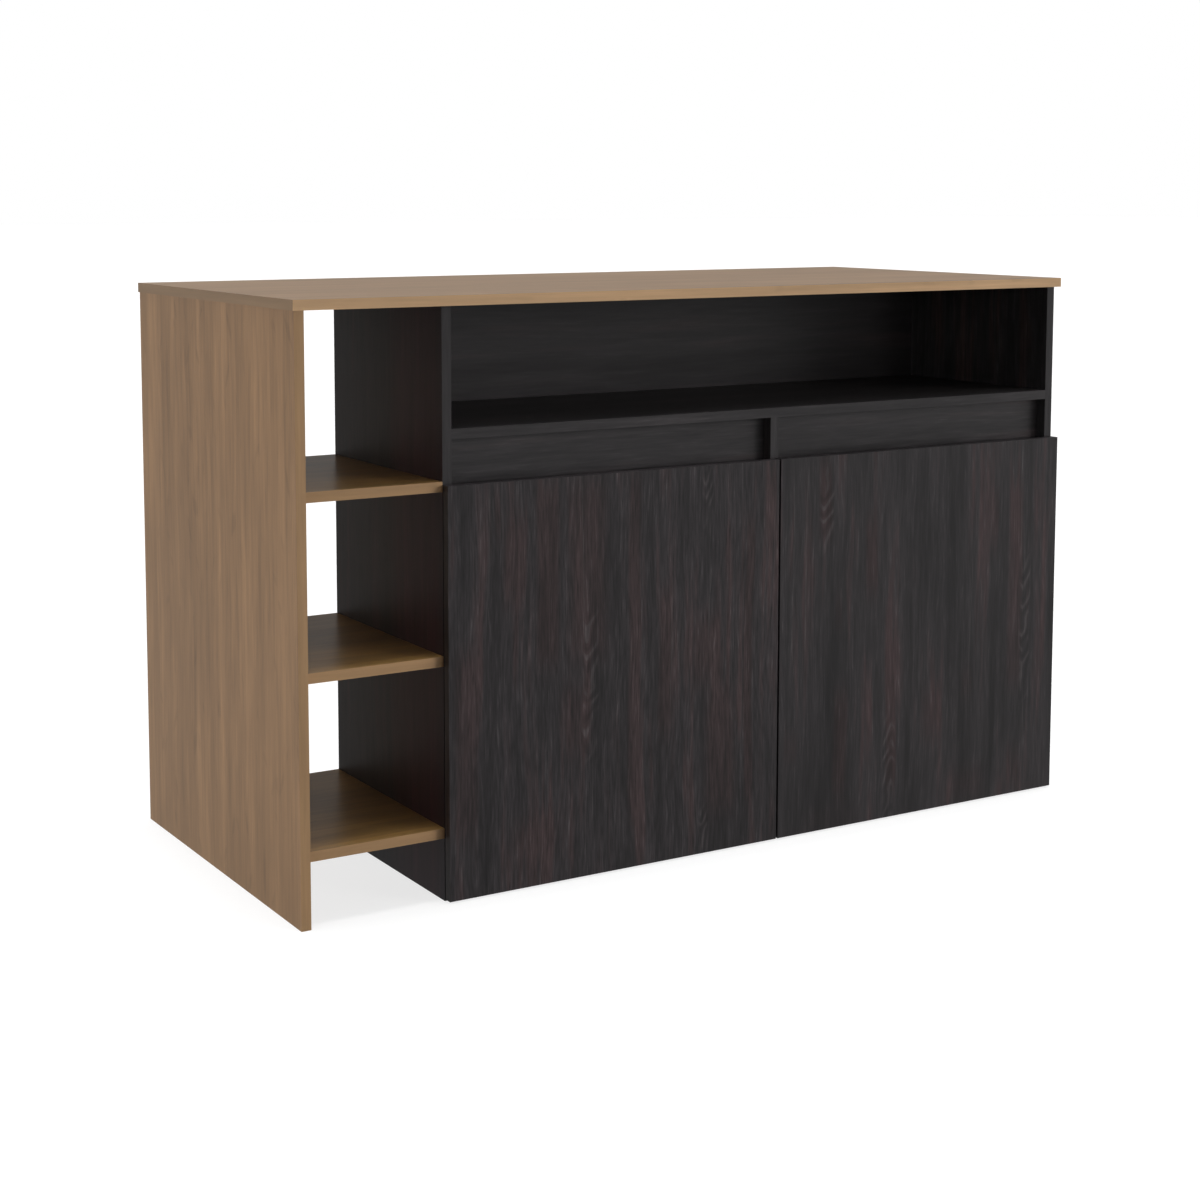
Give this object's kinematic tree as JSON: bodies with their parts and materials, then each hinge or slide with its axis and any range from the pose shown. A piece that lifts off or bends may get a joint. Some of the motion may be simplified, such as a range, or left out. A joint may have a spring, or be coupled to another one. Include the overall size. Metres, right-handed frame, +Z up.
{
  "type": "kitchen island unit",
  "caption": "Freestanding kitchen island: light wood worktop and end panel round a dark wood cabinet with hinged doors, an open niche, open end shelves and a bar overhang.",
  "frame": {"origin": "middle of the base: centre of the bounding box in X and Y, on the floor", "axes": "+X along the long side, away from the open end shelves; doors face -Y; +Z up"},
  "size_m": [1.412, 0.6256, 0.885],
  "materials": {
    "light_wood": "matt wood-grain melamine, light brown oak, upright grain",
    "worktop_wood": "matt wood-grain melamine, light brown oak, grain along the length",
    "dark_wood": "satin dark ebony wood-grain melamine with reddish brown streaks",
    "hinge_steel": "bright nickel-plated pressed steel",
    "bracket_steel": "zinc-plated bent steel",
    "beech": "plain fluted beech dowel",
    "clear_plastic": "soft clear plastic"
  },
  "bodies": {
    "cabinet": {"worktop": "worktop_wood", "left_end_panel": "light_wood", "open_shelf_top": "light_wood", "open_shelf_middle": "light_wood", "open_shelf_bottom": "light_wood", "carcass_left_side": "dark_wood", "carcass_right_side": "dark_wood", "centre_divider": "dark_wood", "niche_shelf": "dark_wood", "niche_back_panel": "dark_wood", "lower_back_panel": "dark_wood", "bottom_panel": "dark_wood", "plinth_front": "dark_wood", "recess_rail_left": "dark_wood", "recess_rail_right": "dark_wood", "inner_shelf_left": "dark_wood", "inner_shelf_right": "dark_wood", "shelf_pin_left_outer_front": "hinge_steel", "shelf_pin_left_outer_back": "hinge_steel", "shelf_pin_left_inner_front": "hinge_steel", "shelf_pin_left_inner_back": "hinge_steel", "shelf_pin_right_outer_front": "hinge_steel", "shelf_pin_right_outer_back": "hinge_steel", "shelf_pin_right_inner_front": "hinge_steel", "shelf_pin_right_inner_back": "hinge_steel", "hinge_arm_left_lower": "hinge_steel", "hinge_arm_left_upper": "hinge_steel", "hinge_arm_right_lower": "hinge_steel", "hinge_arm_right_upper": "hinge_steel", "hinge_plate_left_lower": "hinge_steel", "hinge_plate_left_upper": "hinge_steel", "hinge_plate_right_lower": "hinge_steel", "hinge_plate_right_upper": "hinge_steel", "dowel_end_front": "beech", "dowel_end_back": "beech", "dowel_left_front": "beech", "dowel_left_back": "beech", "dowel_right_front": "beech", "dowel_right_back": "beech", "overhang_bracket_left": "bracket_steel", "overhang_bracket_middle": "bracket_steel", "overhang_bracket_right": "bracket_steel"},
    "door_left": {"door_left_panel": "dark_wood", "hinge_cup_left_lower": "hinge_steel", "hinge_cup_left_upper": "hinge_steel", "hinge_pin_left_lower": "hinge_steel", "hinge_pin_left_upper": "hinge_steel", "bumper_left_upper": "clear_plastic", "bumper_left_lower": "clear_plastic"},
    "door_right": {"door_right_panel": "dark_wood", "hinge_cup_right_lower": "hinge_steel", "hinge_cup_right_upper": "hinge_steel", "hinge_pin_right_lower": "hinge_steel", "hinge_pin_right_upper": "hinge_steel", "bumper_right_upper": "clear_plastic", "bumper_right_lower": "clear_plastic"}
  },
  "joints": [
    {"name": "door_left_hinge", "type": "hinge", "parent": "cabinet", "child": "door_left", "pos_m": [-0.4667, -0.30625, 0.308], "axis": [0, 0, -1], "range_deg": [0, 95]},
    {"name": "door_right_hinge", "type": "hinge", "parent": "cabinet", "child": "door_right", "pos_m": [0.6972, -0.30625, 0.308], "axis": [0, 0, 1], "range_deg": [0, 95]}
  ]
}
